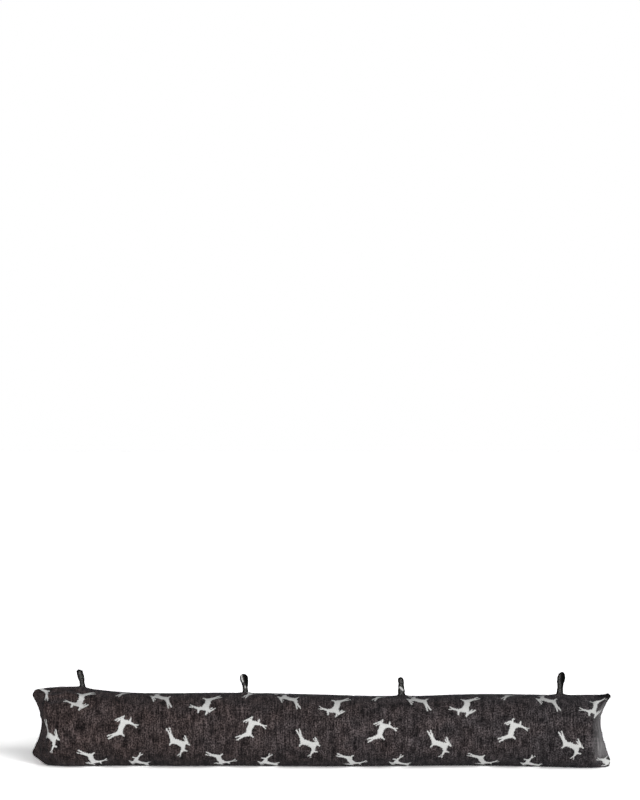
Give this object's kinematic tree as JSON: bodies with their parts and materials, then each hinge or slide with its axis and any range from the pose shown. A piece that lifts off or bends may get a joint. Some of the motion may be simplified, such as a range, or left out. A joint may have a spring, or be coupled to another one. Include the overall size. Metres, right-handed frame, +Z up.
{
  "type": "draught excluder",
  "caption": "Long stuffed cloth tube that lies along the foot of a door, with a flat seam across each end and small hanging loops sewn into the seam along its top.",
  "frame": {"origin": "on the floor, under the middle of the tube's box", "axes": "+X along the tube, from its left end to its right end as seen from the front; +Z up, towards the seam with the hanging loops; -Y is the front"},
  "size_m": [0.9196, 0.1461, 0.1503],
  "materials": {
    "charcoal_tweed": "matt woven wool look, charcoal with off-white leaping hares",
    "strap_cloth": "matt, the same cloth folded into a narrow strap"
  },
  "bodies": {
    "root": {"tube": "charcoal_tweed", "loop_1": "strap_cloth", "loop_2": "strap_cloth", "loop_3": "strap_cloth", "loop_4": "strap_cloth"}
  },
  "joints": []
}
